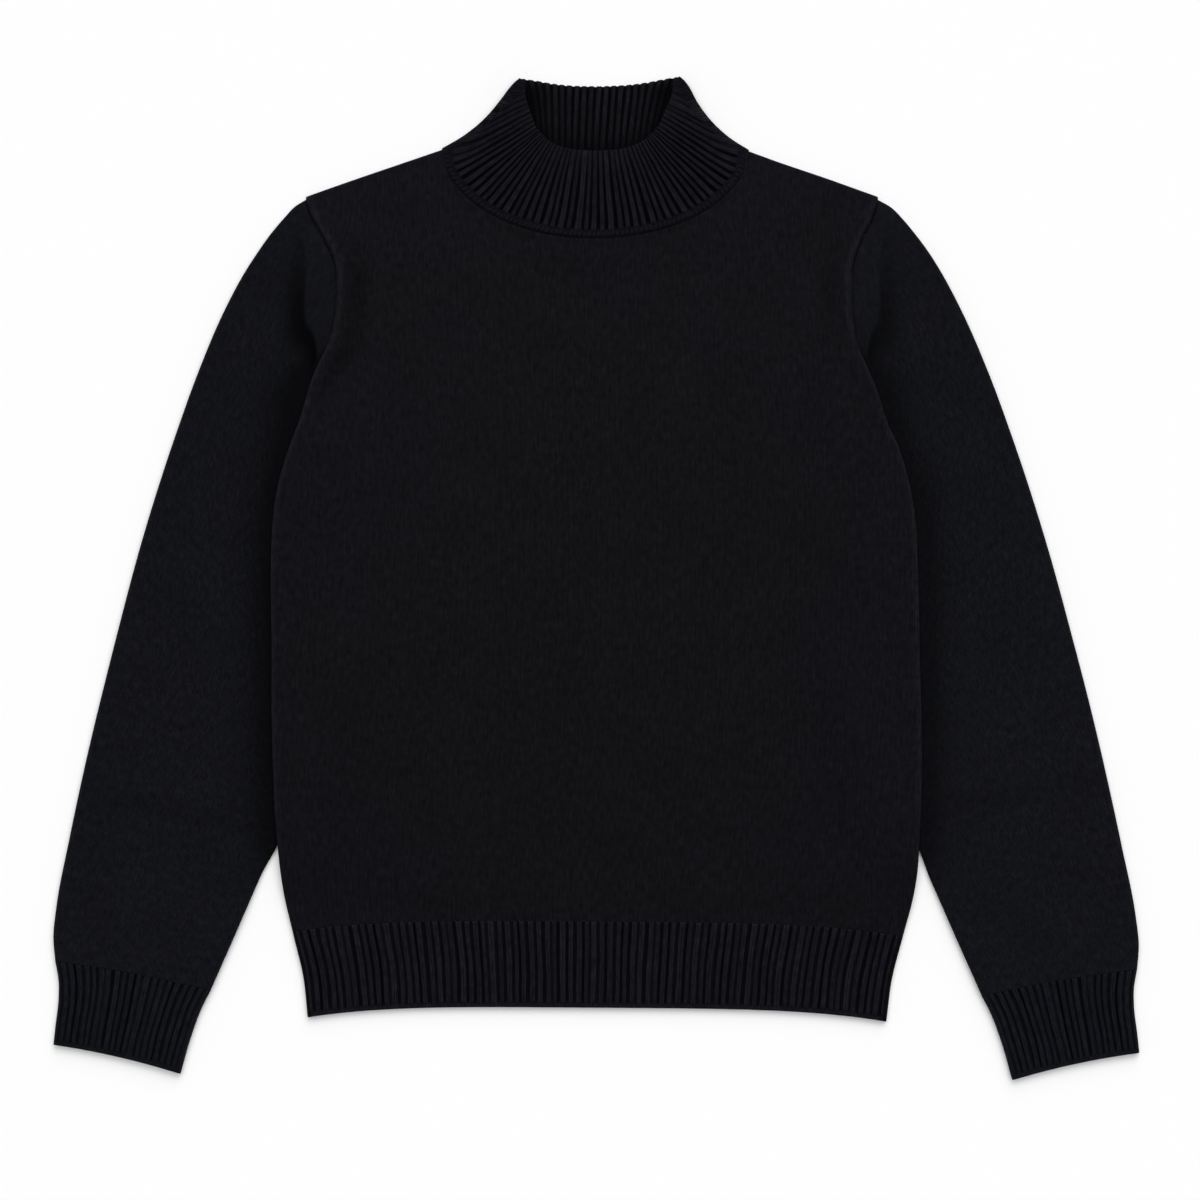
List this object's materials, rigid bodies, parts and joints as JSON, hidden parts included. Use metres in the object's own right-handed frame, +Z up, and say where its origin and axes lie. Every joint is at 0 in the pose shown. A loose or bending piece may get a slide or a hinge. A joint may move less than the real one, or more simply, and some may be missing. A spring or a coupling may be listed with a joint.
{
  "type": "mock-neck knitted sweater laid flat",
  "caption": "Long-sleeved knitted sweater laid flat, with a ribbed mock-neck collar, cuffs and hem.",
  "frame": {"origin": "middle of the garment's box, on the surface that it lies on", "axes": "+X across the chest to the wearer's left as seen from the front, +Y from hem to collar, +Z up out of the garment's front"},
  "size_m": [0.7808, 0.7187, 0.0108],
  "materials": {
    "jersey": "matt fine-gauge plain knit, near black",
    "rib": "matt ribbed knit, near black"
  },
  "bodies": {
    "root": {"front_panel": "jersey", "back_panel": "jersey", "hem_rib_front": "rib", "hem_rib_back": "rib", "sleeve_left": "jersey", "sleeve_right": "jersey", "cuff_left": "rib", "cuff_right": "rib", "collar": "rib"}
  },
  "joints": []
}
